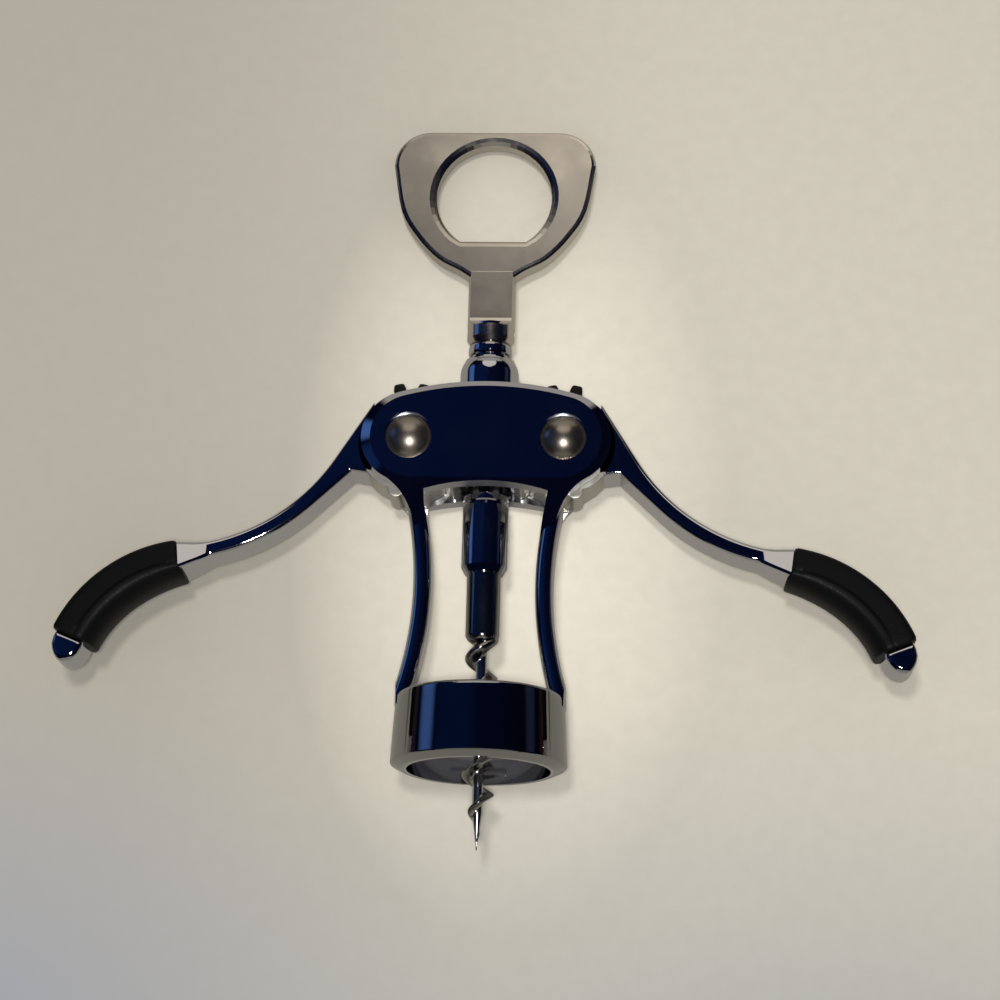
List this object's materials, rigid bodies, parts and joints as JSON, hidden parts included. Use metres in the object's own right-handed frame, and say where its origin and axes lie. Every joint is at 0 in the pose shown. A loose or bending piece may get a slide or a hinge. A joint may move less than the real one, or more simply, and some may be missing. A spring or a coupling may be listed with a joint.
{
  "type": "wing corkscrew",
  "caption": "Winged corkscrew: a bell sits on the bottle, a screw on a toothed stem is turned by a key, and geared side levers lift the cork.",
  "frame": {"origin": "centre of the bell's mouth, where the screw axis meets the plane of the rim", "axes": "+X right across the levers, +Y along the screw axis towards the key, +Z out of the front plate"},
  "size_m": [0.1868, 0.166, 0.038],
  "materials": {
    "chrome_casting": "mirror chrome plate on a zinc casting",
    "satin_metal": "softly polished plate",
    "bright_steel": "bright drawn steel",
    "grip_rubber": "matt black rubber",
    "guide_plastic": "matt grey plastic"
  },
  "bodies": {
    "frame": {"frame": "chrome_casting", "bell_liner": "guide_plastic", "left_rivet_tube": "satin_metal", "left_rivet_post": "satin_metal", "right_rivet_tube": "satin_metal", "right_rivet_post": "satin_metal"},
    "left_wing": {"left_lever": "chrome_casting", "left_grip": "grip_rubber"},
    "right_wing": {"right_lever": "chrome_casting", "right_grip": "grip_rubber"},
    "neck_bush": {"neck_bush": "chrome_casting"},
    "spindle": {"rack_rod": "chrome_casting", "screw_worm": "bright_steel", "worm_pin": "bright_steel", "stem_ring": "chrome_casting", "key_handle": "satin_metal", "key_pin": "bright_steel"}
  },
  "joints": [
    {"name": "key_turn", "type": "hinge", "parent": "frame", "child": "neck_bush", "pos_m": [0, 0.0724, 0], "axis": [0, 1, 0], "continuous": true},
    {"name": "rack_slide", "type": "slide", "parent": "neck_bush", "child": "spindle", "axis": [0, 1, 0], "range_m": [-0.01532, 0.01006]},
    {"name": "left_wing_pivot", "type": "hinge", "parent": "frame", "child": "left_wing", "pos_m": [-0.017, 0.0724, 0], "axis": [0, 0, 1], "range_deg": [-67, 44]},
    {"name": "right_wing_pivot", "type": "hinge", "parent": "frame", "child": "right_wing", "pos_m": [0.017, 0.0724, 0], "axis": [0, 0, 1], "range_deg": [-44, 67]}
  ],
  "couplings": [
    {"joint": "left_wing_pivot", "follows": "rack_slide", "rad_per_m": 76.32},
    {"joint": "right_wing_pivot", "follows": "rack_slide", "rad_per_m": -76.32}
  ]
}
